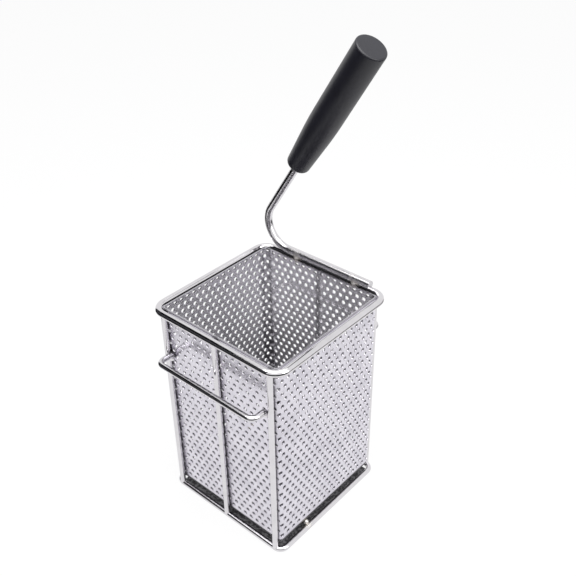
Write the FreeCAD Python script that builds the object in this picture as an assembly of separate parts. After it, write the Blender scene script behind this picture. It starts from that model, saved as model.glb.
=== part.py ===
import FreeCAD, Part
import math
import os

from FreeCAD import Placement, Rotation, Vector

# Square perforated basket for a deep fryer, in millimetres.
# The middle of its base stands at the origin, +Z is up and the handle is on the +Y side.

# Sheet metal
sheet_width = 123.6
sheet_thickness = 1.0
upright_bend_radius = 3.0
floor_edge_radius = 8.0
floor_underside = 4.3
wall_edge_above_rim_axis = 1.3

# Staggered gaps in the sheet
gap_width = 10.1
gap_pitch = 17.0
gap_row_pitch = 17.4
gap_border = 2.0
gap_sides = 8

# Rim and base wires
basket_height = 200.0
rim_wire_diameter = 6.0
rim_gap = 2.2
rim_corner_radius = 12.0
base_wire_diameter = 5.0
base_ring_offset = 2.5
base_corner_radius = 7.0

# Upright wires, three on the front and three on the back
post_wire_diameter = 5.0
post_spacing = 57.6
post_bite = 1.6

# Hook bars, one on the front and one on the back
hook_wire_diameter = 5.0
hook_gap = 10.0
hook_height = 156.0
hook_bend_radius = 6.0
hook_turn_radius = 4.0
hook_leg_length = 1.0

# Handle wire, lying on the back of the rim and rising from one bend
handle_wire_diameter = 7.0
handle_seat_angle = 15.0
handle_end_x = 52.0
handle_bend_start_x = -37.3
handle_bend_radius = 23.0
handle_rise_angle = 57.9
handle_free_length = 58.0

# Grip
grip_length = 130.0
grip_diameter = 25.4
grip_neck_diameter = 19.9
grip_taper_angle = 3.4
grip_blend_radius = 400.0
grip_neck_round = 3.0
grip_end_round = 1.6
grip_bore_depth = 112.0
tang_end_gap = 2.0

# Welds
weld_clearance = 0.05
bead_radius = 2.8
bead_offset = 1.6
handle_weld_places = (-27.0, 36.0)
tack_radius = 2.4
tack_place = 28.0

# How closely an edge has to match the place it is looked for
match_tolerance = 0.001

# Places worked out from the sizes above
sheet_half = sheet_width / 2
rim_radius = rim_wire_diameter / 2
base_radius = base_wire_diameter / 2
post_radius = post_wire_diameter / 2
hook_radius = hook_wire_diameter / 2
handle_radius = handle_wire_diameter / 2
rim_half = sheet_half + rim_gap + rim_radius
rim_axis_z = basket_height - rim_radius
base_half = sheet_half + base_ring_offset
base_axis_z = base_radius
post_y = sheet_half + weld_clearance + post_radius
floor_edge_axis = sheet_half - floor_edge_radius
seam_height = floor_underside + floor_edge_radius
wall_top = rim_axis_z + wall_edge_above_rim_axis
seat_angle = math.radians(handle_seat_angle)
seat_distance = rim_radius + weld_clearance + handle_radius
handle_y = rim_half - seat_distance * math.sin(seat_angle)
handle_z = rim_axis_z + seat_distance * math.cos(seat_angle)

along_x = Vector(1, 0, 0)
along_y = Vector(0, 1, 0)
along_z = Vector(0, 0, 1)


def round_wire(path, start, direction, radius):
    # A round wire swept along a path that leaves start in the given direction.
    section = Part.Wire(Part.makeCircle(radius, start, direction))
    return path.makePipeShell([section], True, False)


def rounded_square_edges(half, corner_radius, z):
    # A square with rounded corners, that starts in the middle of its front side.
    flat = half - corner_radius
    diagonal = flat + corner_radius * math.sqrt(0.5)
    start = Vector(0, -half, z)
    edges = []
    last = start
    for quarter in range(4):
        turn = Rotation(along_z, 90 * quarter)
        arc_start = turn.multVec(Vector(flat, -half, z))
        arc_middle = turn.multVec(Vector(diagonal, -diagonal, z))
        arc_end = turn.multVec(Vector(half, -flat, z))
        edges.append(Part.makeLine(last, arc_start))
        edges.append(Part.Arc(arc_start, arc_middle, arc_end).toShape())
        last = arc_end
    edges.append(Part.makeLine(last, start))
    return edges


def wire_ring(half, corner_radius, z, radius):
    path = Part.Wire(rounded_square_edges(half, corner_radius, z))
    return round_wire(path, Vector(0, -half, z), along_x, radius)


def rounded_prism(half, corner_radius, low, high):
    outline = Part.Wire(rounded_square_edges(half, corner_radius, low))
    return Part.Face(outline).extrude(Vector(0, 0, high - low))


def gap_prism(centre, direction, length):
    # An even-sided prism, flat to flat as wide as a gap, centred on a point and lying along a direction.
    radius = gap_width / 2 / math.cos(math.pi / gap_sides)
    points = []
    for side in range(gap_sides + 1):
        angle = math.pi * (2 * side + 1) / gap_sides
        points.append(Vector(radius * math.cos(angle), radius * math.sin(angle), -length / 2))
    prism = Part.Face(Part.makePolygon(points)).extrude(Vector(0, 0, length))
    prism.Placement = Placement(centre, Rotation(along_z, direction))
    return prism


def staggered_places(width, height):
    # Rows of gaps centred on a field, with every second row moved by half a pitch.
    rows = int((height - gap_width) / gap_row_pitch) + 1
    most = int((width - gap_width) / gap_pitch) + 1
    places = []
    for row in range(rows):
        count = most - row % 2
        for column in range(count):
            across = (column - (count - 1) / 2) * gap_pitch
            up = (row - (rows - 1) / 2) * gap_row_pitch
            places.append((across, up))
    return places


def basket_wall():
    # A sleeve wrapped from one perforated sheet, with four upright bends.
    inner_half = sheet_half - sheet_thickness
    inner_radius = upright_bend_radius - sheet_thickness
    sleeve = rounded_prism(sheet_half, upright_bend_radius, seam_height, wall_top)
    sleeve = sleeve.cut(rounded_prism(inner_half, inner_radius, seam_height, wall_top))
    flat_width = 2 * (sheet_half - upright_bend_radius)
    field_height = wall_top - seam_height - 2 * gap_border
    middle = (wall_top + seam_height) / 2
    through = 2 * sheet_half + sheet_thickness
    gaps = []
    for across, up in staggered_places(flat_width, field_height):
        gaps.append(gap_prism(Vector(across, 0, middle + up), along_y, through))
        gaps.append(gap_prism(Vector(0, across, middle + up), along_x, through))
    return sleeve.cut(gaps)


def floor_block(half, edge_radius, bend_radius, low):
    # The solid inside the pan: upright rounded corners that run out between rolled edges.
    block = rounded_prism(half, bend_radius, low, seam_height)
    roll_axis = half - edge_radius
    roll_z = low + edge_radius
    corner = edge_radius * math.sqrt(0.5)
    profile = [
        Part.makeLine(Vector(0, -roll_axis, low), Vector(0, roll_axis, low)),
        Part.Arc(
            Vector(0, roll_axis, low),
            Vector(0, roll_axis + corner, roll_z - corner),
            Vector(0, half, roll_z),
        ).toShape(),
        Part.makeLine(Vector(0, half, roll_z), Vector(0, half, seam_height + edge_radius)),
        Part.makeLine(
            Vector(0, half, seam_height + edge_radius), Vector(0, -half, seam_height + edge_radius)
        ),
        Part.makeLine(Vector(0, -half, seam_height + edge_radius), Vector(0, -half, roll_z)),
        Part.Arc(
            Vector(0, -half, roll_z),
            Vector(0, -roll_axis - corner, roll_z - corner),
            Vector(0, -roll_axis, low),
        ).toShape(),
    ]
    trough = Part.Face(Part.Wire(profile)).extrude(Vector(2 * half, 0, 0))
    trough.translate(Vector(-half, 0, 0))
    crossing = trough.copy()
    crossing.rotate(Vector(0, 0, 0), along_z, 90)
    return block.common(trough).common(crossing)


def basket_pan():
    # The perforated floor with its rolled edges, which meet the sleeve at the seam.
    outer = floor_block(sheet_half, floor_edge_radius, upright_bend_radius, floor_underside)
    inner = floor_block(
        sheet_half - sheet_thickness,
        floor_edge_radius - sheet_thickness,
        upright_bend_radius - sheet_thickness,
        floor_underside + sheet_thickness,
    )
    pan = outer.cut(inner)
    flat_width = 2 * floor_edge_axis
    gaps = []
    for across, up in staggered_places(flat_width, flat_width):
        centre = Vector(across, up, floor_underside + sheet_thickness / 2)
        gaps.append(gap_prism(centre, along_z, 2 * sheet_thickness))
    return pan.cut(gaps)


def top_rim_wire(extra=0.0):
    return wire_ring(rim_half, rim_corner_radius, rim_axis_z, rim_radius + extra)


def plain_base_ring(extra=0.0):
    return wire_ring(base_half, base_corner_radius, base_axis_z, base_radius + extra)


def tack_weld(side):
    # A weld drop that bridges from the ring to the rolled edge of the pan.
    edge_axis = Vector(side * floor_edge_axis, 0, seam_height)
    ring_axis = Vector(side * base_half, 0, base_axis_z)
    towards_edge = (edge_axis - ring_axis).normalize()
    free = (edge_axis - ring_axis).Length - floor_edge_radius - base_radius
    centre = ring_axis + towards_edge * (base_radius + free / 2)
    drop = Part.makeSphere(tack_radius, Vector(centre.x, -side * tack_place, centre.z))
    reach = 4 * tack_radius
    edge = Part.makeCylinder(
        floor_edge_radius + weld_clearance,
        reach,
        Vector(edge_axis.x, -side * tack_place - reach / 2, edge_axis.z),
        along_y,
    )
    return drop.cut(edge)


def base_ring_wire():
    return plain_base_ring().fuse([tack_weld(1), tack_weld(-1)])


def post(x, side, rim_cutter, base_cutter):
    # An upright wire whose ends are shaped to the rim above and the base ring below.
    top = rim_axis_z - rim_radius + post_bite
    length = top - base_axis_z
    wire = Part.makeCylinder(post_radius, length, Vector(x, side * post_y, base_axis_z), along_z)
    return wire.cut([rim_cutter, base_cutter])


def quarter_bend(centre, first, second):
    # A quarter circle round a centre, between the ends of two equally long arms from it.
    middle = centre + (first + second) * math.sqrt(0.5)
    return Part.Arc(centre + first, middle, centre + second).toShape()


def front_hook_bar():
    # A bar in front of the posts, whose two arms turn down and end beside the outer posts.
    arm_x = post_spacing - post_radius - weld_clearance - hook_radius
    leg_y = -(sheet_half + weld_clearance + hook_radius)
    bar_y = -(post_y + post_radius + hook_gap + hook_radius)
    bend = hook_bend_radius
    turn = hook_turn_radius
    turn_z = hook_height - turn
    edges = []
    for side in (-1, 1):
        leg_top = Vector(side * arm_x, leg_y, turn_z)
        leg_end = leg_top - along_z * hook_leg_length
        turn_end = Vector(side * arm_x, leg_y - turn, hook_height)
        bend_start = Vector(side * arm_x, bar_y + bend, hook_height)
        leg = Part.makeLine(leg_end, leg_top)
        arc = quarter_bend(Vector(side * arm_x, leg_y - turn, turn_z), along_y * turn, along_z * turn)
        arm = Part.makeLine(turn_end, bend_start)
        corner = quarter_bend(
            Vector(side * (arm_x - bend), bar_y + bend, hook_height), along_x * side * bend, along_y * -bend
        )
        edges += [leg, arc, arm, corner] if side < 0 else [corner, arm, arc, leg]
        if side < 0:
            start = leg_end
            edges.append(
                Part.makeLine(Vector(bend - arm_x, bar_y, hook_height), Vector(arm_x - bend, bar_y, hook_height))
            )
    return round_wire(Part.Wire(edges), start, along_z, hook_radius)


def back_hook_bar():
    # The same bar on the back.
    bar = front_hook_bar()
    bar.rotate(Vector(0, 0, 0), along_z, 180)
    return bar


def handle_rise():
    # The place where the handle wire leaves its bend, and its direction there.
    turn = math.radians(180 - handle_rise_angle)
    centre = Vector(handle_bend_start_x, handle_y, handle_z + handle_bend_radius)
    leave = centre + Vector(-math.sin(turn), 0, -math.cos(turn)) * handle_bend_radius
    middle = centre + Vector(-math.sin(turn / 2), 0, -math.cos(turn / 2)) * handle_bend_radius
    return leave, middle, Vector(-math.cos(turn), 0, math.sin(turn))


def handle_wire(rim_cutter):
    # The wire on the rim, its bend, its rise and the tang inside the grip, with two weld beads.
    leave, middle, upward = handle_rise()
    start = Vector(handle_end_x, handle_y, handle_z)
    bend_start = Vector(handle_bend_start_x, handle_y, handle_z)
    tang_end = leave + upward * (handle_free_length + grip_bore_depth - tang_end_gap)
    edges = [
        Part.makeLine(start, bend_start),
        Part.Arc(bend_start, middle, leave).toShape(),
        Part.makeLine(leave, tang_end),
    ]
    wire = round_wire(Part.Wire(edges), start, Vector(-1, 0, 0), handle_radius)
    contact = Vector(0, rim_half, rim_axis_z) + Vector(
        0, -math.sin(seat_angle), math.cos(seat_angle)
    ) * rim_radius
    inward = Vector(0, -math.cos(seat_angle), -math.sin(seat_angle))
    for x in handle_weld_places:
        bead = Part.makeSphere(bead_radius, contact + inward * bead_offset + along_x * x)
        wire = wire.fuse(bead.cut(rim_cutter))
    return wire


def handle_grip():
    # A turned grip that widens from its neck, with a blind bore for the tang.
    neck = grip_neck_diameter / 2
    full = grip_diameter / 2
    bore = handle_radius + weld_clearance
    angle = math.radians(grip_taper_angle)
    blend_low = full - grip_blend_radius * (1 - math.cos(angle))
    blend_start = (blend_low - neck) / math.tan(angle)
    blend_end = blend_start + grip_blend_radius * math.sin(angle)
    half_angle = angle / 2
    blend_middle = Vector(
        full - grip_blend_radius * (1 - math.cos(half_angle)),
        0,
        blend_end - grip_blend_radius * math.sin(half_angle),
    )
    neck_end = Vector(neck, 0, 0)
    cone_end = Vector(blend_low, 0, blend_start)
    barrel_start = Vector(full, 0, blend_end)
    barrel_end = Vector(full, 0, grip_length)
    outline = [
        Part.makeLine(Vector(bore, 0, 0), neck_end),
        Part.makeLine(neck_end, cone_end),
        Part.Arc(cone_end, blend_middle, barrel_start).toShape(),
        Part.makeLine(barrel_start, barrel_end),
        Part.makeLine(barrel_end, Vector(0, 0, grip_length)),
        Part.makeLine(Vector(0, 0, grip_length), Vector(0, 0, grip_bore_depth)),
        Part.makeLine(Vector(0, 0, grip_bore_depth), Vector(bore, 0, grip_bore_depth)),
        Part.makeLine(Vector(bore, 0, grip_bore_depth), Vector(bore, 0, 0)),
    ]
    grip = Part.Face(Part.Wire(outline)).revolve(Vector(0, 0, 0), along_z, 360)
    for radius, height, size in (
        (neck, 0.0, grip_neck_round),
        (full, grip_length, grip_end_round),
    ):
        rims = [edge for edge in grip.Edges if is_circle_at(edge, radius, height)]
        grip = grip.makeFillet(size, rims)
    leave, middle, upward = handle_rise()
    foot = leave + upward * handle_free_length
    grip.Placement = Placement(foot, Rotation(along_z, upward))
    return grip


def is_circle_at(edge, radius, height):
    # Whether an edge is the full circle of that radius at that height.
    if not isinstance(edge.Curve, Part.Circle):
        return False
    near = abs(edge.Curve.Radius - radius) < match_tolerance
    return near and abs(edge.Curve.Center.z - height) < match_tolerance


rim_cutter = top_rim_wire(weld_clearance)
base_cutter = plain_base_ring(weld_clearance)
nodes = {
    "basket_wall": basket_wall(),
    "basket_pan": basket_pan(),
    "top_rim_wire": top_rim_wire(),
    "base_ring_wire": base_ring_wire(),
    "front_hook_bar": front_hook_bar(),
    "back_hook_bar": back_hook_bar(),
    "handle_wire": handle_wire(rim_cutter),
    "handle_grip": handle_grip(),
}
for side, face in ((-1, "front"), (1, "back")):
    for x, place in ((-post_spacing, "left"), (0.0, "middle"), (post_spacing, "right")):
        nodes[f"{face}_post_{place}"] = post(x, side, rim_cutter, base_cutter)

os.makedirs("parts", exist_ok=True)
for name, shape in nodes.items():
    solids = shape.Solids
    shape = solids[0] if len(solids) == 1 else Part.makeCompound(solids)
    shape.exportStep(f"parts/{name}.step")
    box = shape.BoundBox
    print(
        f"{name}: {len(solids)} solid, valid {shape.isValid()}, {shape.Volume / 1000:.2f} cm3,"
        f" x {box.XMin:.1f} {box.XMax:.1f}, y {box.YMin:.1f} {box.YMax:.1f},"
        f" z {box.ZMin:.1f} {box.ZMax:.1f}"
    )
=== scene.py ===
import bpy
import math
from mathutils import Matrix, Vector


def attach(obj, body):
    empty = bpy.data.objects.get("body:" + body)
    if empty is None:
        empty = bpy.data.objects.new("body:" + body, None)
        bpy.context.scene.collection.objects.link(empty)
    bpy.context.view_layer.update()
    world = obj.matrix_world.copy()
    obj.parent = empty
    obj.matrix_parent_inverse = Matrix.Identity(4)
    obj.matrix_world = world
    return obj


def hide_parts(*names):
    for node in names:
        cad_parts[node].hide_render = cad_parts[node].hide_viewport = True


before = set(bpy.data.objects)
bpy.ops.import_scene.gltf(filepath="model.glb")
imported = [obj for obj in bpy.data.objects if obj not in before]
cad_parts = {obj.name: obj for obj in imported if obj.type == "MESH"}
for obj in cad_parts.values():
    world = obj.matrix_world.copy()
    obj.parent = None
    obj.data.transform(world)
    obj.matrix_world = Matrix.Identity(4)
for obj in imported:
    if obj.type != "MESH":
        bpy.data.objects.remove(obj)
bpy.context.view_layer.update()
mm = 0.001  # sizes below are in millimetres, Blender works in metres


# helpers for selecting, editing and finishing meshes

def hexToLinear(hexColour):
    # sRGB hex to the linear colour that shader sockets want
    channels = []
    for place in (1, 3, 5):
        value = int(hexColour[place:place + 2], 16) / 255
        channels.append(value / 12.92 if value <= 0.04045 else ((value + 0.055) / 1.055) ** 2.4)
    return (*channels, 1.0)


def leaveEdit():
    bpy.ops.object.mode_set(mode='OBJECT')


def deselectAll():
    if bpy.context.object and bpy.context.object.mode != 'OBJECT':
        leaveEdit()
    bpy.ops.object.select_all(action='DESELECT')


def pick(obj):
    deselectAll()
    obj.select_set(True)
    bpy.context.view_layer.objects.active = obj


def startEdit(obj, choice='SELECT'):
    # edit mode on one object, with its whole mesh selected, or none of it
    pick(obj)
    bpy.ops.object.mode_set(mode='EDIT')
    bpy.ops.mesh.select_all(action=choice)


def selectFaces(obj, test):
    # faces chosen by their centre, left selected in edit mode
    startEdit(obj, 'DESELECT')
    bpy.ops.mesh.select_mode(type='FACE')
    leaveEdit()
    for face in obj.data.polygons:
        face.select = test(face.center)
    bpy.ops.object.mode_set(mode='EDIT')


def selectEdges(obj, test):
    # edges chosen by their two ends, left selected in edit mode
    startEdit(obj, 'DESELECT')
    bpy.ops.mesh.select_mode(type='EDGE')
    leaveEdit()
    corners = obj.data.vertices
    for edge in obj.data.edges:
        edge.select = test(corners[edge.vertices[0]].co, corners[edge.vertices[1]].co)
    bpy.ops.object.mode_set(mode='EDIT')


def useModifier(obj, kind, **settings):
    # add a modifier, set it and apply it
    pick(obj)
    modifier = obj.modifiers.new(kind.title(), kind)
    for name, value in settings.items():
        setattr(modifier, name, value)
    bpy.ops.object.modifier_apply(modifier=modifier.name)


def repeatMesh(obj, count, step, **settings):
    # copies in a row, one step in millimetres apart
    useModifier(obj, 'ARRAY', count=count, use_relative_offset=False, use_constant_offset=True,
                constant_offset_displace=Vector(step) * mm, **settings)


def dropAbove(obj, height):
    # slice the mesh at a height and drop what stands above
    startEdit(obj)
    bpy.ops.mesh.bisect(plane_co=(0, 0, height * mm), plane_no=(0, 0, 1), clear_outer=True)
    leaveEdit()


def joinPoints(obj, distance):
    # merge points that lie together, so seams are closed
    startEdit(obj)
    bpy.ops.mesh.remove_doubles(threshold=distance * mm)
    bpy.ops.mesh.normals_make_consistent(inside=False)
    leaveEdit()


def placeMesh(obj):
    # the object ends at the origin, its place is in its mesh
    pick(obj)
    bpy.ops.object.transform_apply(location=True, rotation=True, scale=True)


def finishPiece(obj, name, material, smoothAngle=50, stands=()):
    placeMesh(obj)
    bpy.ops.object.shade_smooth_by_angle(angle=math.radians(smoothAngle), keep_sharp_edges=False)
    obj.name = name
    obj.data.name = name
    obj.data.materials.clear()
    obj.data.materials.append(material)
    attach(obj, "root")
    if stands:
        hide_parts(*stands)
    return obj


# materials

def newMaterial(name):
    material = bpy.data.materials.new(name)
    material.use_nodes = True
    return material, material.node_tree, material.node_tree.nodes["Principled BSDF"]


def addNode(tree, kind, settings=None, links=None):
    # one node, with its socket values or properties, and its inputs linked
    node = tree.nodes.new(kind)
    for name, value in (settings or {}).items():
        if isinstance(name, int) or name in node.inputs:
            node.inputs[name].default_value = value
        else:
            setattr(node, name, value)
    for name, source in (links or {}).items():
        tree.links.new(source, node.inputs[name])
    return node


weldSpots = {
    "handle": ((-27.0, 65.3, 200.2), (36.0, 65.3, 200.2)),   # handle wire on the rim
    "ring": ((61.1, -28.0, 5.5), (-61.1, 28.0, 5.5)),        # tack welds, base ring on pan
    "reach": 7.5,            # how far the heat tint runs
    "core": 0.35,            # share of that reach which has it in full
    "wobble": 8.0,           # how far its border wanders
    "wobbleMm": 5.556,       # size of the wandering's clouds
    "straw": "#D9CFB4",      # oxide colour next to a weld
    "tint": 0.25,            # how strong it is
    "matt": 0.35,            # how much rougher the weld is than the wire
}


def weldMask(tree, position):
    # 1 at each weld, and fading to 0 over its reach
    sizes = weldSpots
    wobble = addNode(tree, 'ShaderNodeTexNoise',
                     {'Scale': 1 / (sizes["wobbleMm"] * mm), 'Detail': 2.0}, {'Vector': position})
    mask = None
    for spot in sizes["handle"] + sizes["ring"]:
        away = addNode(tree, 'ShaderNodeVectorMath',
                       {'operation': 'DISTANCE', 1: Vector(spot) * mm}, {0: position})
        ring = addNode(tree, 'ShaderNodeMath',
                       {'operation': 'MULTIPLY_ADD', 1: sizes["wobble"] * mm},
                       {0: wobble.outputs['Fac'], 2: away.outputs['Value']})
        fade = addNode(tree, 'ShaderNodeMapRange',
                       {'From Min': (sizes["reach"] * sizes["core"] + sizes["wobble"] / 2) * mm,
                        'From Max': (sizes["reach"] + sizes["wobble"] / 2) * mm,
                        'To Min': 1.0, 'To Max': 0.0},
                       {'Value': ring.outputs['Value']})
        if mask is None:
            mask = fade.outputs['Result']
        else:
            mask = addNode(tree, 'ShaderNodeMath', {'operation': 'MAXIMUM'},
                           {0: mask, 1: fade.outputs['Result']}).outputs['Value']
    return mask


def heatTint(tree, colour, mask):
    # straw-coloured oxide next to the welds
    share = addNode(tree, 'ShaderNodeMath', {'operation': 'MULTIPLY', 1: weldSpots["tint"]},
                    {0: mask})
    mixed = addNode(tree, 'ShaderNodeMix',
                    {'data_type': 'RGBA', 7: hexToLinear(weldSpots["straw"])},
                    {0: share.outputs['Value'], 6: colour})
    return mixed.outputs[2]


wireSteel = {
    "colour": "#DEDCDF",
    "darker": "#D2D0D3",
    "polished": 0.07,        # roughness of the basket's wires
    "satin": 0.2,            # and of the handle's rod
    "smoothest": 0.7,        # the roughness varies between these shares of itself
    "roughest": 1.5,
    "waveMm": 9.0,           # soft waviness left by straightening
    "waveDepth": 0.15,
    "waveBump": 0.25,
    "grainMm": 0.5,          # die lines are finer, drawn this coarse to show
}


def stainlessWireMaterial(name, roughness):
    # 304 stainless wire, drawn and electropolished: bright, a little uneven, softly wavy
    steel = wireSteel
    material, tree, bsdf = newMaterial(name)
    position = addNode(tree, 'ShaderNodeTexCoord').outputs['Object']
    wave = addNode(tree, 'ShaderNodeTexNoise',
                   {'Scale': 1 / (steel["waveMm"] * mm), 'Detail': 1.0}, {'Vector': position})
    grain = addNode(tree, 'ShaderNodeTexNoise',
                    {'Scale': 1 / (steel["grainMm"] * mm), 'Detail': 2.0}, {'Vector': position})
    rough = addNode(tree, 'ShaderNodeMapRange',
                    {'To Min': roughness * steel["smoothest"],
                     'To Max': roughness * steel["roughest"]},
                    {'Value': grain.outputs['Fac']})
    welds = weldMask(tree, position)
    matt = addNode(tree, 'ShaderNodeMath', {'operation': 'MULTIPLY_ADD', 1: weldSpots["matt"]},
                   {0: welds, 2: rough.outputs['Result']})
    tree.links.new(matt.outputs['Value'], bsdf.inputs['Roughness'])
    soft = addNode(tree, 'ShaderNodeBump',
                   {'Strength': steel["waveBump"], 'Distance': steel["waveDepth"] * mm},
                   {'Height': wave.outputs['Fac']})
    tree.links.new(soft.outputs['Normal'], bsdf.inputs['Normal'])
    colour = addNode(tree, 'ShaderNodeMix',
                     {'data_type': 'RGBA', 6: hexToLinear(steel["colour"]),
                      7: hexToLinear(steel["darker"])},
                     {0: wave.outputs['Fac']})
    tree.links.new(heatTint(tree, colour.outputs[2], welds), bsdf.inputs['Base Color'])
    bsdf.inputs['Metallic'].default_value = 1.0
    return material


sleeveSizes = {
    "middleHalf": 61.3,      # half width to the middle of the 1 mm sheet
    "bendRadius": 2.5,       # to the middle of the sheet
    "thickness": 1.0,
    "columns": 70,           # holes round the sleeve, about 7 mm apart
    "rows": 30,
    "rowPitch": 6.19,
    "firstRow": 16.8,
    "holeWidth": 3.6,
    "holeSides": 16,
    "seamHeight": 12.3,      # where the sleeve meets the pan
    "topHeight": 198.3,
    "turn": 0.23,            # slides the pattern round: a column lands on the front right bend
    "hemHeight": 2.3,        # top edge folded over to the outside
    "hemThickness": 0.8,
    "hemBevel": 0.25,
    "joint": 0.02,           # points this close are one point
    "wrapJoint": 0.05,       # and this close where the wrapped sheet meets itself
}


def foldedPosition(tree, position):
    # the four walls laid over one another, seen from above
    level = addNode(tree, 'ShaderNodeVectorMath', {'operation': 'MULTIPLY', 1: (1, 1, 0)},
                    {0: position})
    folded = addNode(tree, 'ShaderNodeVectorMath', {'operation': 'ABSOLUTE'},
                     {0: level.outputs['Vector']})
    return folded.outputs['Vector']


def insideMask(tree, position):
    # 1 on the inner half of the sheet's thickness, 0 on its outer side
    flat = (sleeveSizes["middleHalf"] - sleeveSizes["bendRadius"]) * mm
    bend = sleeveSizes["bendRadius"] * mm
    beyond = addNode(tree, 'ShaderNodeVectorMath',
                     {'operation': 'SUBTRACT', 1: (flat, flat, 0)},
                     {0: foldedPosition(tree, position)})
    corner = addNode(tree, 'ShaderNodeVectorMath', {'operation': 'MAXIMUM', 1: (0, 0, 0)},
                     {0: beyond.outputs['Vector']})
    reach = addNode(tree, 'ShaderNodeVectorMath', {'operation': 'LENGTH'},
                    {0: corner.outputs['Vector']})
    inner = addNode(tree, 'ShaderNodeMapRange',
                    {'From Min': bend - 0.1 * mm, 'From Max': bend + 0.3 * mm,
                     'To Min': 1.0, 'To Max': 0.0},
                    {'Value': reach.outputs['Value']})
    return inner.outputs['Result']


# painted shade on the sheet: in the crevices beside the posts, on the rolled edge as a painted
# reflection of the shade under the basket, and on the top edge for the groove under the rim
paintedShadeSizes = {
    "postPlaces": (0.0, 57.6),    # distance of the post axes from the middle
    "postDepth": 64.35,
    "full": 2.9,                  # painted shade in full out to this far from a post's axis
    "gone": 4.8,                  # and none from here on
    "ragged": 2.0,                # how far that border wanders
    "postShare": 0.7,             # how strong the painted shade is there
    "edgeTop": 12.0,              # painted reflection of the shade under the basket on the rolled edge, below this height
    "edgeFade": 0.6,
    "edgeLow": 4.9,               # but not on the floor under it
    "rimEdge": 198.1,             # painted shade of the groove under the rim on the sheet's top edge, from here up
    "rimFade": 0.2,
    "rimShare": 0.4,
}


def paintedShadeMask(tree, position, cloud):
    # painted shade: 1 in the crevices along the posts and on the rolled edge, part strength on the
    # sheet's top edge, with a cloudy border
    sizes = paintedShadeSizes
    folded = foldedPosition(tree, position)
    height = addNode(tree, 'ShaderNodeSeparateXYZ', None, {'Vector': position}).outputs['Z']
    below = addNode(tree, 'ShaderNodeMapRange',
                    {'From Min': sizes["edgeTop"] * mm,
                     'From Max': (sizes["edgeTop"] + sizes["edgeFade"]) * mm,
                     'To Min': 1.0, 'To Max': 0.0}, {'Value': height})
    above = addNode(tree, 'ShaderNodeMath',
                    {'operation': 'GREATER_THAN', 1: sizes["edgeLow"] * mm}, {0: height})
    rolled = addNode(tree, 'ShaderNodeMath', {'operation': 'MULTIPLY'},
                     {0: below.outputs['Result'], 1: above.outputs['Value']})
    upper = addNode(tree, 'ShaderNodeMapRange',
                    {'From Min': (sizes["rimEdge"] - sizes["rimFade"]) * mm,
                     'From Max': sizes["rimEdge"] * mm,
                     'To Min': 0.0, 'To Max': sizes["rimShare"]}, {'Value': height})
    mask = addNode(tree, 'ShaderNodeMath', {'operation': 'MAXIMUM'},
                   {0: rolled.outputs['Value'], 1: upper.outputs['Result']}).outputs['Value']
    ragged = addNode(tree, 'ShaderNodeMath', {'operation': 'MULTIPLY', 1: sizes["ragged"] * mm},
                     {0: cloud})
    for place in sizes["postPlaces"]:
        away = addNode(tree, 'ShaderNodeVectorMath',
                       {'operation': 'DISTANCE', 1: (place * mm, sizes["postDepth"] * mm, 0)},
                       {0: folded})
        edge = addNode(tree, 'ShaderNodeMath', {'operation': 'ADD'},
                       {0: away.outputs['Value'], 1: ragged.outputs['Value']})
        crevice = addNode(tree, 'ShaderNodeMapRange',
                          {'From Min': (sizes["full"] + sizes["ragged"] / 2) * mm,
                           'From Max': (sizes["gone"] + sizes["ragged"] / 2) * mm,
                           'To Min': sizes["postShare"], 'To Max': 0.0},
                          {'Value': edge.outputs['Value']})
        mask = addNode(tree, 'ShaderNodeMath', {'operation': 'MAXIMUM'},
                       {0: mask, 1: crevice.outputs['Result']}).outputs['Value']
    return mask


sheetSteel = {
    "colour": "#DFDCE4",
    "darker": "#CFCCD5",
    "inside": "#EEECF1",     # the inner side near the mouth: painted light, brighter than the outer side
    "deep": "#BDBBC0",       # painted shade on the inner side further down
    "insideShadeLow": 80.0,          # heights between which the inner side turns from painted shade to painted light
    "insideShadeHigh": 135.0,
    "paintedShade": "#5A595C",    # painted shade along the posts, round the rolled edge and under the rim
    "smoothest": 0.17,       # the roughness varies between these two
    "roughest": 0.31,
    "cloudMm": 14.0,         # patches of a slightly different tone
    "cloudLow": 0.35,        # the part of the noise that they show
    "cloudHigh": 0.7,
    "grainMm": 0.8,          # the rolled grain is finer, drawn this coarse to show
    "grainDepth": 0.05,
    "grainBump": 0.08,
    "rippleMm": 26.0,        # the sheet isn't quite flat after punching
    "rippleDepth": 0.5,
    "rippleBump": 0.2,
}


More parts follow.
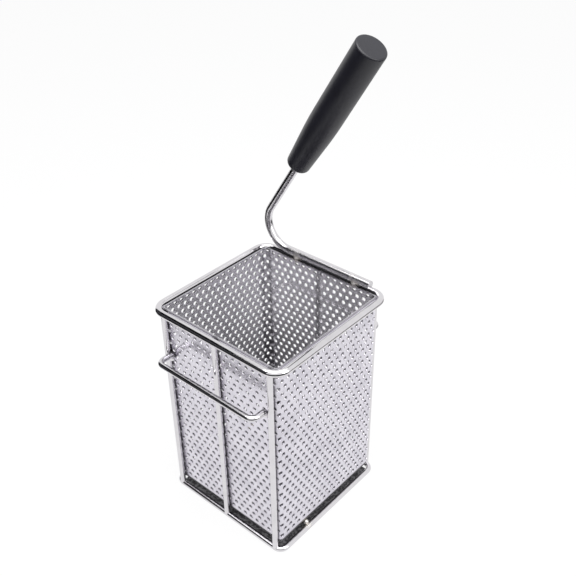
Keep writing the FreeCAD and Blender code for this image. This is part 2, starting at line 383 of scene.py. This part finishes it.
def perforatedSheetMaterial():
    # stainless sheet, cold rolled, punched and electropolished: satin grey, a little uneven
    sheet = sheetSteel
    material, tree, bsdf = newMaterial("Electropolished perforated stainless")
    position = addNode(tree, 'ShaderNodeTexCoord').outputs['Object']
    cloud = addNode(tree, 'ShaderNodeTexNoise',
                    {'Scale': 1 / (sheet["cloudMm"] * mm), 'Detail': 4.0, 'Roughness': 0.6},
                    {'Vector': position})
    grain = addNode(tree, 'ShaderNodeTexNoise',
                    {'Scale': 1 / (sheet["grainMm"] * mm), 'Detail': 2.0}, {'Vector': position})
    ripple = addNode(tree, 'ShaderNodeTexNoise',
                     {'Scale': 1 / (sheet["rippleMm"] * mm), 'Detail': 1.0}, {'Vector': position})
    # colour: outer side, inner side, painted shade, then the welds
    patch = addNode(tree, 'ShaderNodeMapRange',
                    {'From Min': sheet["cloudLow"], 'From Max': sheet["cloudHigh"]},
                    {'Value': cloud.outputs['Fac']})
    outer = addNode(tree, 'ShaderNodeMix',
                    {'data_type': 'RGBA', 6: hexToLinear(sheet["colour"]),
                     7: hexToLinear(sheet["darker"])},
                    {0: patch.outputs['Result']})
    # the inner side is a lit and shaded copy of the sheet: painted shade low down, painted light near
    # the mouth
    height = addNode(tree, 'ShaderNodeSeparateXYZ', None, {'Vector': position})
    insideLitShare = addNode(tree, 'ShaderNodeMapRange',
                    {'From Min': sheet["insideShadeLow"] * mm, 'From Max': sheet["insideShadeHigh"] * mm},
                    {'Value': height.outputs['Z']})
    inner = addNode(tree, 'ShaderNodeMix',
                    {'data_type': 'RGBA', 6: hexToLinear(sheet["deep"]),
                     7: hexToLinear(sheet["inside"])},
                    {0: insideLitShare.outputs['Result']})
    sided = addNode(tree, 'ShaderNodeMix', {'data_type': 'RGBA'},
                    {0: insideMask(tree, position), 6: outer.outputs[2], 7: inner.outputs[2]})
    # painted shade in the crevices, on the rolled edge and under the rim
    withPaintedShade = addNode(tree, 'ShaderNodeMix',
                    {'data_type': 'RGBA', 7: hexToLinear(sheet["paintedShade"])},
                    {0: paintedShadeMask(tree, position, cloud.outputs['Fac']), 6: sided.outputs[2]})
    tinted = heatTint(tree, withPaintedShade.outputs[2], weldMask(tree, position))
    tree.links.new(tinted, bsdf.inputs['Base Color'])
    rough = addNode(tree, 'ShaderNodeMapRange',
                    {'To Min': sheet["smoothest"], 'To Max': sheet["roughest"]},
                    {'Value': cloud.outputs['Fac']})
    tree.links.new(rough.outputs['Result'], bsdf.inputs['Roughness'])
    fine = addNode(tree, 'ShaderNodeBump',
                   {'Strength': sheet["grainBump"], 'Distance': sheet["grainDepth"] * mm},
                   {'Height': grain.outputs['Fac']})
    waves = addNode(tree, 'ShaderNodeBump',
                    {'Strength': sheet["rippleBump"], 'Distance': sheet["rippleDepth"] * mm},
                    {'Height': ripple.outputs['Fac'], 'Normal': fine.outputs['Normal']})
    tree.links.new(waves.outputs['Normal'], bsdf.inputs['Normal'])
    bsdf.inputs['Metallic'].default_value = 1.0
    return material


gripNylon = {
    "colour": "#111119",
    "worn": "#191922",
    "smoothest": 0.33,       # the roughness varies between these two
    "roughest": 0.45,
    "grainMm": 0.45,         # spark-eroded mould grain, drawn this coarse to show
    "grainDepth": 0.06,
    "grainBump": 0.12,
    "hazeMm": 22.22,         # patches polished by hands
    "ior": 1.53,
}


def gripMaterial():
    # glass-filled nylon, moulded in black with a fine grain: satin, soft edges of light
    nylon = gripNylon
    material, tree, bsdf = newMaterial("Moulded black nylon")
    position = addNode(tree, 'ShaderNodeTexCoord').outputs['Object']
    grain = addNode(tree, 'ShaderNodeTexVoronoi', {'Scale': 1 / (nylon["grainMm"] * mm)},
                    {'Vector': position})
    haze = addNode(tree, 'ShaderNodeTexNoise',
                   {'Scale': 1 / (nylon["hazeMm"] * mm), 'Detail': 3.0}, {'Vector': position})
    colour = addNode(tree, 'ShaderNodeMix',
                     {'data_type': 'RGBA', 6: hexToLinear(nylon["colour"]),
                      7: hexToLinear(nylon["worn"])},
                     {0: haze.outputs['Fac']})
    tree.links.new(colour.outputs[2], bsdf.inputs['Base Color'])
    rough = addNode(tree, 'ShaderNodeMapRange',
                    {'To Min': nylon["smoothest"], 'To Max': nylon["roughest"]},
                    {'Value': haze.outputs['Fac']})
    tree.links.new(rough.outputs['Result'], bsdf.inputs['Roughness'])
    bump = addNode(tree, 'ShaderNodeBump',
                   {'Strength': nylon["grainBump"], 'Distance': nylon["grainDepth"] * mm},
                   {'Height': grain.outputs['Distance']})
    tree.links.new(bump.outputs['Normal'], bsdf.inputs['Normal'])
    bsdf.inputs['IOR'].default_value = nylon["ior"]
    return material


# painted shade of the crevice between sheet and rim, as a dark bead on the back and left sides
creviceShadeSizes = {
    "inside": 61.9,          # half width to the bead's inner side
    "cornerRadius": 3.1,
    "thickness": 1.2,
    "low": 195.6,
    "high": 198.4,
    "bevel": 0.3,
    "colour": "#2A292B",     # painted shade of the crevice between sheet and rim
    "roughness": 0.5,
    "grainMm": 1.111,
    "grainDepth": 0.1,
    "grainBump": 0.4,
}


def paintedCreviceShadeMaterial():
    # painted shade of the crevice between sheet and rim: dark matt metal with a grainy bump
    sizes = creviceShadeSizes
    material, tree, bsdf = newMaterial("Painted crevice shade")
    position = addNode(tree, 'ShaderNodeTexCoord').outputs['Object']
    grain = addNode(tree, 'ShaderNodeTexNoise',
                    {'Scale': 1 / (sizes["grainMm"] * mm), 'Detail': 3.0}, {'Vector': position})
    bump = addNode(tree, 'ShaderNodeBump',
                   {'Strength': sizes["grainBump"], 'Distance': sizes["grainDepth"] * mm},
                   {'Height': grain.outputs['Fac']})
    tree.links.new(bump.outputs['Normal'], bsdf.inputs['Normal'])
    bsdf.inputs['Base Color'].default_value = hexToLinear(sizes["colour"])
    bsdf.inputs['Roughness'].default_value = sizes["roughness"]
    bsdf.inputs['Metallic'].default_value = 1.0
    return material


wireMaterial = stainlessWireMaterial("Polished stainless wire", wireSteel["polished"])
rodMaterial = stainlessWireMaterial("Satin stainless rod", wireSteel["satin"])
creviceShadeMaterial = paintedCreviceShadeMaterial()
sheetMaterial = perforatedSheetMaterial()
blackMaterial = gripMaterial()
print("materials ready")


# the perforated sleeve, wrapped from one flat sheet

def roundedSquarePath(half, radius):
    # closed path with rounded corners, which the flat sheet is wrapped along
    deselectAll()
    bpy.ops.mesh.primitive_plane_add(size=2 * half * mm)
    path = bpy.context.object
    startEdit(path)
    bpy.ops.mesh.delete(type='ONLY_FACE')
    bpy.ops.mesh.select_all(action='SELECT')
    bpy.ops.mesh.bevel(offset=radius * mm, segments=32, affect='VERTICES')
    leaveEdit()
    bpy.ops.object.convert(target='CURVE')
    return path


def perforatedSheet(pitch):
    # one hole in its six-sided cell, paired with the next row's, then repeated
    sizes = sleeveSizes
    rowPitch = sizes["rowPitch"]
    deselectAll()
    bpy.ops.mesh.primitive_circle_add(vertices=sizes["holeSides"], radius=sizes["holeWidth"] / 2 * mm)
    sheet = bpy.context.object
    startEdit(sheet, 'DESELECT')
    bpy.ops.mesh.primitive_circle_add(vertices=6, radius=pitch / math.sqrt(3) * mm)
    bpy.ops.mesh.subdivide(number_cuts=1)
    bpy.ops.mesh.select_all(action='SELECT')
    bpy.ops.mesh.bridge_edge_loops()
    bpy.ops.mesh.select_all(action='SELECT')
    bpy.ops.transform.resize(value=(1, rowPitch / (pitch * math.sqrt(0.75)), 1))
    bpy.ops.mesh.duplicate_move(
        TRANSFORM_OT_translate={"value": (pitch / 2 * mm, rowPitch * mm, 0)})
    bpy.ops.mesh.select_all(action='SELECT')
    bpy.ops.mesh.remove_doubles(threshold=sizes["joint"] * mm)
    leaveEdit()
    merging = {"use_merge_vertices": True, "merge_threshold": sizes["joint"] * mm}
    repeatMesh(sheet, sizes["columns"], (pitch, 0, 0), **merging)
    repeatMesh(sheet, sizes["rows"] // 2, (0, 2 * rowPitch, 0), **merging)
    return sheet


def buildSleeve():
    sizes = sleeveSizes
    flat = sizes["middleHalf"] - sizes["bendRadius"]
    around = 8 * flat + 2 * math.pi * sizes["bendRadius"]
    sleeve = perforatedSheet(around / sizes["columns"])
    sleeve.rotation_euler = (math.pi / 2, 0, 0)
    sleeve.location = (sizes["turn"] * mm, 0, sizes["firstRow"] * mm)
    placeMesh(sleeve)
    # plain margin below the first row, whose cells end in a zigzag under the holes
    lowest = (sizes["firstRow"] - sizes["holeWidth"] / 2 - 0.1) * mm
    selectEdges(sleeve, lambda a, b: max(a.z, b.z) < lowest and abs(a.x - b.x) > 0.5 * mm)
    bpy.ops.mesh.extrude_edges_move()
    bpy.ops.transform.resize(value=(1, 1, 0), center_override=(0, 0, sizes["seamHeight"] * mm))
    leaveEdit()
    dropAbove(sleeve, sizes["topHeight"])
    path = roundedSquarePath(sizes["middleHalf"], sizes["bendRadius"])
    useModifier(sleeve, 'CURVE', object=path, deform_axis='POS_X')
    bpy.data.objects.remove(path)
    joinPoints(sleeve, sizes["wrapJoint"])
    useModifier(sleeve, 'SOLIDIFY', thickness=sizes["thickness"] * mm, offset=0.0)
    return finishPiece(sleeve, "perforated_sleeve", sheetMaterial,
                       stands=("basket_wall",))


def squareOutline(half, cornerRadius, height):
    # the sleeve's outline at one height, as bare edges
    deselectAll()
    bpy.ops.mesh.primitive_plane_add(size=2 * half * mm, location=(0, 0, height * mm))
    outline = bpy.context.object
    startEdit(outline)
    bpy.ops.mesh.bevel(offset=cornerRadius * mm, segments=8, affect='VERTICES')
    bpy.ops.mesh.delete(type='ONLY_FACE')
    leaveEdit()
    placeMesh(outline)
    return outline


def raiseOutline(outline, rise, thickness, bevel):
    # edges drawn up into a band, thickened outwards, with its corners eased
    startEdit(outline)
    bpy.ops.mesh.extrude_edges_move(TRANSFORM_OT_translate={"value": (0, 0, rise * mm)})
    bpy.ops.mesh.select_all(action='SELECT')
    bpy.ops.mesh.normals_make_consistent(inside=False)
    leaveEdit()
    useModifier(outline, 'SOLIDIFY', thickness=thickness * mm, offset=1.0)
    useModifier(outline, 'BEVEL', width=bevel * mm, segments=2, limit_method='ANGLE',
                angle_limit=math.radians(60))


def buildHem():
    # the sheet's top edge, folded over to the outside
    sizes = sleeveSizes
    wall = sizes["thickness"] / 2
    hem = squareOutline(sizes["middleHalf"] + wall, sizes["bendRadius"] + wall,
                        sizes["topHeight"] - sizes["hemHeight"])
    raiseOutline(hem, sizes["hemHeight"], sizes["hemThickness"], sizes["hemBevel"])
    return finishPiece(hem, "sleeve_hem", sheetMaterial)


def buildCreviceShade():
    # dark bead between sheet and rim, along the back and the left only: painted shade of the crevice
    # there
    sizes = creviceShadeSizes
    seam = squareOutline(sizes["inside"], sizes["cornerRadius"], sizes["low"])
    reach = (sizes["inside"] - sizes["cornerRadius"] - 0.1) * mm
    selectEdges(seam, lambda a, b: (a.y + b.y) / 2 - (a.x + b.x) / 2 < reach)
    bpy.ops.mesh.delete(type='EDGE')
    leaveEdit()
    raiseOutline(seam, sizes["high"] - sizes["low"], sizes["thickness"], sizes["bevel"])
    return finishPiece(seam, "rim_crevice_shade", creviceShadeMaterial)


sleeve = buildSleeve()
buildHem()
buildCreviceShade()
print("sleeve ready", len(sleeve.data.polygons), "faces")


# the pan under the sleeve

panSizes = {
    "outerHalf": 61.8,
    "underside": 4.3,
    "edgeRadius": 8.0,       # rolled edge between floor and wall
    "cornerRadius": 3.0,
    "thickness": 1.0,
    "holePitch": 7.02,
    "holeWidth": 3.6,
    "holeReach": 52.0,       # no hole centre lies further out than this
    "holeSides": 16,
    "blockHeight": 40.0,     # of the block that the pan is cut from, through the underside
    "troughHeight": 30.0,    # of the troughs that cut it, up from the underside
    "troughSpare": 20.0,     # how much longer than the pan they are
    "punchDepth": 4.0,
    "joint": 0.02,           # points this close are one point
    "punchJoint": 0.005,     # and this close after punching
}


def roundedTrough(along):
    # a block whose two bottom edges along one axis are rolled
    sizes = panSizes
    wide, high = 2 * sizes["outerHalf"], sizes["troughHeight"]
    longer = wide + sizes["troughSpare"]
    deselectAll()
    bpy.ops.mesh.primitive_cube_add(size=1, location=(0, 0, (sizes["underside"] + high / 2) * mm))
    trough = bpy.context.object
    trough.scale = Vector((longer, wide, high) if along == 0 else (wide, longer, high)) * mm
    placeMesh(trough)
    low = (sizes["underside"] + 0.1) * mm
    selectEdges(trough, lambda a, b: max(a.z, b.z) < low and abs(a[along] - b[along]) > 1 * mm)
    bpy.ops.mesh.bevel(offset=sizes["edgeRadius"] * mm, segments=12, affect='EDGES')
    leaveEdit()
    return trough


def floorPunch():
    # one round cutter and the next row's, repeated over the whole floor
    sizes = panSizes
    pitch = sizes["holePitch"]
    rowPitch = pitch * math.sqrt(0.75)
    columns = int(sizes["holeReach"] / pitch)
    rows = int(sizes["holeReach"] / rowPitch)
    deselectAll()
    bpy.ops.mesh.primitive_cylinder_add(
        vertices=sizes["holeSides"], radius=sizes["holeWidth"] / 2 * mm,
        depth=sizes["punchDepth"] * mm, location=(0, 0, sizes["underside"] * mm))
    punch = bpy.context.object
    placeMesh(punch)
    startEdit(punch)
    bpy.ops.mesh.duplicate_move(
        TRANSFORM_OT_translate={"value": (pitch / 2 * mm, rowPitch * mm, 0)})
    bpy.ops.mesh.select_all(action='SELECT')
    bpy.ops.transform.translate(value=(-columns * pitch * mm, -(rows // 2) * 2 * rowPitch * mm, 0))
    leaveEdit()
    repeatMesh(punch, 2 * columns, (pitch, 0, 0))
    repeatMesh(punch, rows, (0, 2 * rowPitch, 0))
    return punch


def buildPan():
    sizes = panSizes
    wide = 2 * sizes["outerHalf"] * mm
    deselectAll()
    bpy.ops.mesh.primitive_cube_add(size=1, location=(0, 0, sizes["underside"] * mm))
    pan = bpy.context.object
    pan.scale = (wide, wide, sizes["blockHeight"] * mm)
    placeMesh(pan)
    selectEdges(pan, lambda a, b: abs(a.z - b.z) > 1 * mm)
    bpy.ops.mesh.bevel(offset=sizes["cornerRadius"] * mm, segments=10, affect='EDGES')
    leaveEdit()
    for along in (0, 1):
        trough = roundedTrough(along)
        useModifier(pan, 'BOOLEAN', operation='INTERSECT', object=trough, solver='EXACT')
        bpy.data.objects.remove(trough)
    dropAbove(pan, sleeveSizes["seamHeight"])
    joinPoints(pan, sizes["joint"])
    useModifier(pan, 'SOLIDIFY', thickness=sizes["thickness"] * mm, offset=-1.0)
    punch = floorPunch()
    useModifier(pan, 'BOOLEAN', operation='DIFFERENCE', object=punch, solver='EXACT')
    bpy.data.objects.remove(punch)
    joinPoints(pan, sizes["punchJoint"])
    return finishPiece(pan, "perforated_pan", sheetMaterial,
                       smoothAngle=40, stands=("basket_pan",))


pan = buildPan()
print("pan ready", len(pan.data.polygons), "faces")


# wires and grip keep their CAD meshes

wireNodes = ("top_rim_wire", "base_ring_wire", "front_hook_bar", "back_hook_bar",
             "front_post_left", "front_post_middle", "front_post_right",
             "back_post_left", "back_post_middle", "back_post_right")
for name in wireNodes:
    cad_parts[name].data.materials[0] = wireMaterial
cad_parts["handle_wire"].data.materials[0] = rodMaterial
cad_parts["handle_grip"].data.materials[0] = blackMaterial
print("wires and grip dressed")


# studio: white table, unlit room, three softboxes

studio = {                   # lengths in metres
    "floorSize": 8.0,
    "floorHeight": -0.0002,
    "floorColour": "#F7F7F8",
    "floorRoughness": 0.8,
    "white": "#FFFFFF",
    "shadowShare": 0.11,     # how much of the floor's own shading stays
    "worldLight": 0.65,      # how strongly the white room lights the basket
    "shadeReach": 0.0605,    # half width of the deep shade under the basket
    "shadeRise": 0.0004,
    "shadeDark": "#5C5B5E",
    "shadeLight": "#9C9B9E",
    "fleckMm": 2.381,        # light that falls on it through the holes
    "fleckLow": 0.45,
    "fleckHigh": 0.62,
}

# dark cards round the table: colour, near and far radius, low and high edge in metres, and
# from which to which angle round +Z they stand, in degrees
roomCards = {
    "room_floor": ("#050506", 0.36, 1.5, 0.001, 0.001, -180, 12),
    "room_strip": ("#050506", 0.46, 1.2, 0.001, 0.001, 12, 80),
    "room_wall_low": ("#050506", 1.5, 1.5, 0.001, 0.02, -180, 12),
    "room_wall_left": ("#444447", 1.5, 1.5, 0.02, 1.05, -175, -95),
    "room_wall_top": ("#08080A", 1.5, 1.5, 1.05, 2.2, -175, -95),
    "room_wall_right": ("#3A3A3D", 1.5, 1.5, 0.02, 0.3, -95, 12),
}

# place, point that it faces, width, height in metres, and power in watts
softBoxes = {
    "topBox": ((0.1, -0.1, 1.1), (0, 0, 0.15), 0.9, 0.9, 9.0),
    "leftBox": ((-0.55, -0.75, 1.75), (0, 0, 0.12), 0.7, 0.9, 4.0),
    "rightBox": ((1.1, 0.1, 0.7), (0, 0, 0.12), 0.7, 0.9, 5.0),
}


def backdropRays(tree):
    # 1 for rays that see the backdrop directly, in a mirror or through glass
    rays = addNode(tree, 'ShaderNodeLightPath')
    seen = addNode(tree, 'ShaderNodeMath', {'operation': 'MAXIMUM'},
                   {0: rays.outputs['Is Camera Ray'], 1: rays.outputs['Is Glossy Ray']})
    seen = addNode(tree, 'ShaderNodeMath', {'operation': 'MAXIMUM'},
                   {0: seen.outputs['Value'], 1: rays.outputs['Is Transmission Ray']})
    return seen.outputs['Value']


def showFromAbove(tree, surface):
    # a surface of the table is clear when seen from below
    side = addNode(tree, 'ShaderNodeNewGeometry')
    clear = addNode(tree, 'ShaderNodeBsdfTransparent')
    mix = addNode(tree, 'ShaderNodeMixShader', None,
                  {0: side.outputs['Backfacing'], 1: surface, 2: clear.outputs['BSDF']})
    tree.links.new(mix.outputs['Shader'], tree.nodes["Material Output"].inputs['Surface'])


def buildFloor():
    # matt white table: mostly plain white where it is seen, with the basket's faint shadow
    deselectAll()
    bpy.ops.mesh.primitive_plane_add(size=studio["floorSize"], location=(0, 0, studio["floorHeight"]))
    floor = bpy.context.object
    floor.name = "studio_floor"
    placeMesh(floor)
    material, tree, bsdf = newMaterial("White studio floor")
    bsdf.inputs['Base Color'].default_value = hexToLinear(studio["floorColour"])
    bsdf.inputs['Roughness'].default_value = studio["floorRoughness"]
    share = addNode(tree, 'ShaderNodeMath',
                    {'operation': 'MULTIPLY', 1: 1 - studio["shadowShare"]},
                    {0: backdropRays(tree)})
    white = addNode(tree, 'ShaderNodeEmission',
                    {'Color': hexToLinear(studio["white"]), 'Strength': 1.0})
    mix = addNode(tree, 'ShaderNodeMixShader', None,
                  {0: share.outputs['Value'], 1: bsdf.outputs['BSDF'],
                   2: white.outputs['Emission']})
    showFromAbove(tree, mix.outputs['Shader'])
    floor.data.materials.append(material)


def finishCard(card, name, colour):
    # it shows its own dark colour, and neither lights nor shades anything
    card.name = name
    material, tree, bsdf = newMaterial(name.replace("_", " "))
    bsdf.inputs['Base Color'].default_value = hexToLinear(colour)
    bsdf.inputs['Roughness'].default_value = 1.0
    bsdf.inputs['Specular IOR Level'].default_value = 0.0
    card.data.materials.append(material)
    card.visible_diffuse = False
    card.visible_shadow = False
    return tree, bsdf


def buildCard(name, colour, near, far, low, high, first, last):
    # one dark surface of the unlit room, seen only in reflections
    deselectAll()
    bpy.ops.mesh.primitive_circle_add(vertices=72, radius=near, location=(0, 0, low))
    card = bpy.context.object
    startEdit(card)
    bpy.ops.mesh.extrude_edges_move()
    bpy.ops.transform.resize(value=(far / near, far / near, 1))
    bpy.ops.transform.translate(value=(0, 0, high - low))
    leaveEdit()
    placeMesh(card)

    def outside(centre):
        return not first <= math.degrees(math.atan2(centre.y, centre.x)) <= last
    selectFaces(card, outside)
    bpy.ops.mesh.delete(type='FACE')
    leaveEdit()
    card.visible_camera = False
    finishCard(card, name, colour)


def buildContactShade():
    # the deep shade on the table right under the basket, inside the base ring
    deselectAll()
    bpy.ops.mesh.primitive_plane_add(size=2 * studio["shadeReach"],
                                     location=(0, 0, studio["shadeRise"]))
    shade = bpy.context.object
    placeMesh(shade)
    tree, bsdf = finishCard(shade, "contact_shade", studio["shadeDark"])
    showFromAbove(tree, bsdf.outputs['BSDF'])
    position = addNode(tree, 'ShaderNodeTexCoord').outputs['Object']
    flecks = addNode(tree, 'ShaderNodeTexNoise',
                     {'Scale': 1 / (studio["fleckMm"] * mm), 'Detail': 1.0}, {'Vector': position})
    sharp = addNode(tree, 'ShaderNodeMapRange',
                    {'From Min': studio["fleckLow"], 'From Max': studio["fleckHigh"]},
                    {'Value': flecks.outputs['Fac']})
    mottled = addNode(tree, 'ShaderNodeMix',
                      {'data_type': 'RGBA', 6: hexToLinear(studio["shadeDark"]),
                       7: hexToLinear(studio["shadeLight"])},
                      {0: sharp.outputs['Result']})
    tree.links.new(mottled.outputs[2], bsdf.inputs['Base Color'])


def buildWorld():
    # white all round, but only part of it counts as light on the basket
    world = bpy.data.worlds.new("White studio")
    bpy.context.scene.world = world
    world.use_nodes = True
    tree = world.node_tree
    background = tree.nodes["Background"]
    background.inputs['Color'].default_value = hexToLinear(studio["white"])
    strength = addNode(tree, 'ShaderNodeMapRange',
                       {'To Min': studio["worldLight"], 'To Max': 1.0},
                       {'Value': backdropRays(tree)})
    tree.links.new(strength.outputs['Result'], background.inputs['Strength'])


def addSoftbox(name, place, target, width, height, power):
    light = bpy.data.lights.new(name, 'AREA')
    light.shape = 'RECTANGLE'
    light.size = width
    light.size_y = height
    light.energy = power
    lamp = bpy.data.objects.new(name, light)
    bpy.context.scene.collection.objects.link(lamp)
    lamp.location = place
    lamp.rotation_euler = (Vector(target) - Vector(place)).to_track_quat('-Z', 'Y').to_euler()


buildFloor()
for name, settings in roomCards.items():
    buildCard(name, *settings)
buildContactShade()
buildWorld()
for name, settings in softBoxes.items():
    addSoftbox(name, *settings)
print("studio ready")


# camera, placed as in the photo

view = {
    "place": (369.495, -393.190, 570.373),
    "yaw": 0.7274,           # radians, the way the camera looks round +Z
    "down": 0.5875,
    "roll": -0.0161,
    "lens": 50.571,
    "sensor": 36.0,
    "nearest": 10.0,         # nothing closer than this is drawn
}


def buildCamera():
    forward = Vector((-math.sin(view["yaw"]) * math.cos(view["down"]),
                      math.cos(view["yaw"]) * math.cos(view["down"]), -math.sin(view["down"])))
    level = Vector((math.cos(view["yaw"]), math.sin(view["yaw"]), 0))
    above = level.cross(forward)
    right = math.cos(view["roll"]) * level + math.sin(view["roll"]) * above
    up = math.cos(view["roll"]) * above - math.sin(view["roll"]) * level
    data = bpy.data.cameras.new("photoCamera")
    data.lens = view["lens"]
    data.sensor_width = view["sensor"]
    data.clip_start = view["nearest"] * mm
    camera = bpy.data.objects.new("photoCamera", data)
    bpy.context.scene.collection.objects.link(camera)
    turn = Matrix((right, up, -forward)).transposed().to_4x4()
    camera.matrix_world = Matrix.Translation(Vector(view["place"]) * mm) @ turn
    bpy.context.scene.camera = camera


buildCamera()
bpy.context.scene.view_settings.view_transform = 'Standard'
print("camera ready")
